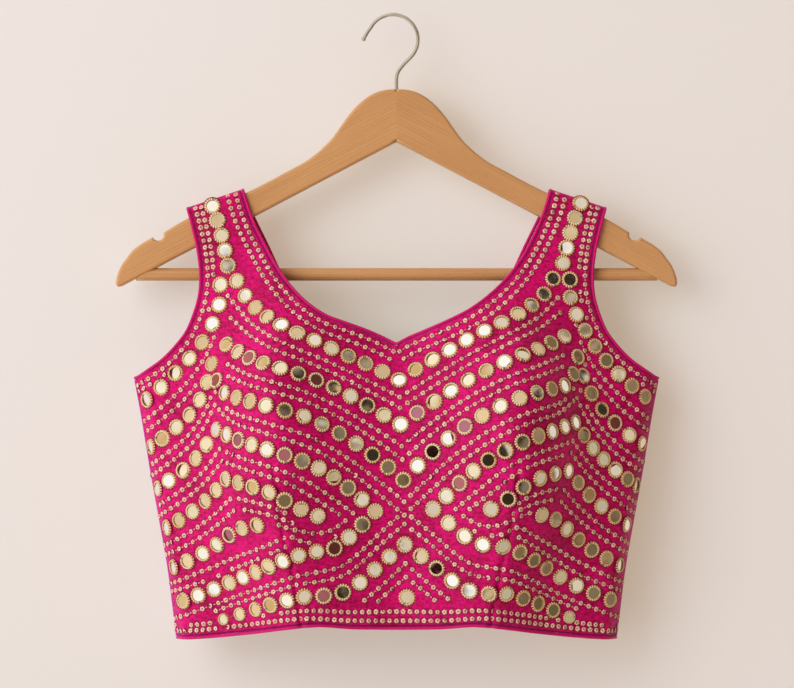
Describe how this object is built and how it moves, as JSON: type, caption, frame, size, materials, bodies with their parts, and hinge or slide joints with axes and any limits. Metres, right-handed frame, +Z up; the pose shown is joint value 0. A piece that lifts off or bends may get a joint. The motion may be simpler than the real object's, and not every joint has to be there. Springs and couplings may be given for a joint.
{
  "type": "choli blouse on a hanger",
  "caption": "Sleeveless cropped choli blouse with a sweetheart neck and shaped bust, covered in mirror and sequin embroidery, hanging open and empty on a wooden hanger with a bar and hook.",
  "frame": {"origin": "inside of the hook's bend, at its top, where the rod carries it", "axes": "+Z up, the blouse's front faces -Y, +X to the right as seen from the front"},
  "size_m": [0.4444, 0.1105, 0.4962],
  "materials": {
    "blouse_silk": "raw silk with a soft sheen, worked with gold thread, glass mirrors and sequins",
    "piping_silk": "plain matt silk cord",
    "beech_wood": "satin lacquered beech",
    "hook_steel": "plain drawn steel wire",
    "mirror_glass": "small round silvered glass mirrors",
    "gold_work": "gilt thread and cupped metal sequins"
  },
  "bodies": {
    "root": {"front_panel": "blouse_silk", "back_panel_left": "blouse_silk", "back_panel_right": "blouse_silk", "neck_piping": "piping_silk", "armhole_piping_left": "piping_silk", "armhole_piping_right": "piping_silk", "hem_piping": "piping_silk", "hanger_arm_left": "beech_wood", "hanger_arm_right": "beech_wood", "hanger_bar": "beech_wood", "hanger_hook": "hook_steel"}
  },
  "joints": []
}
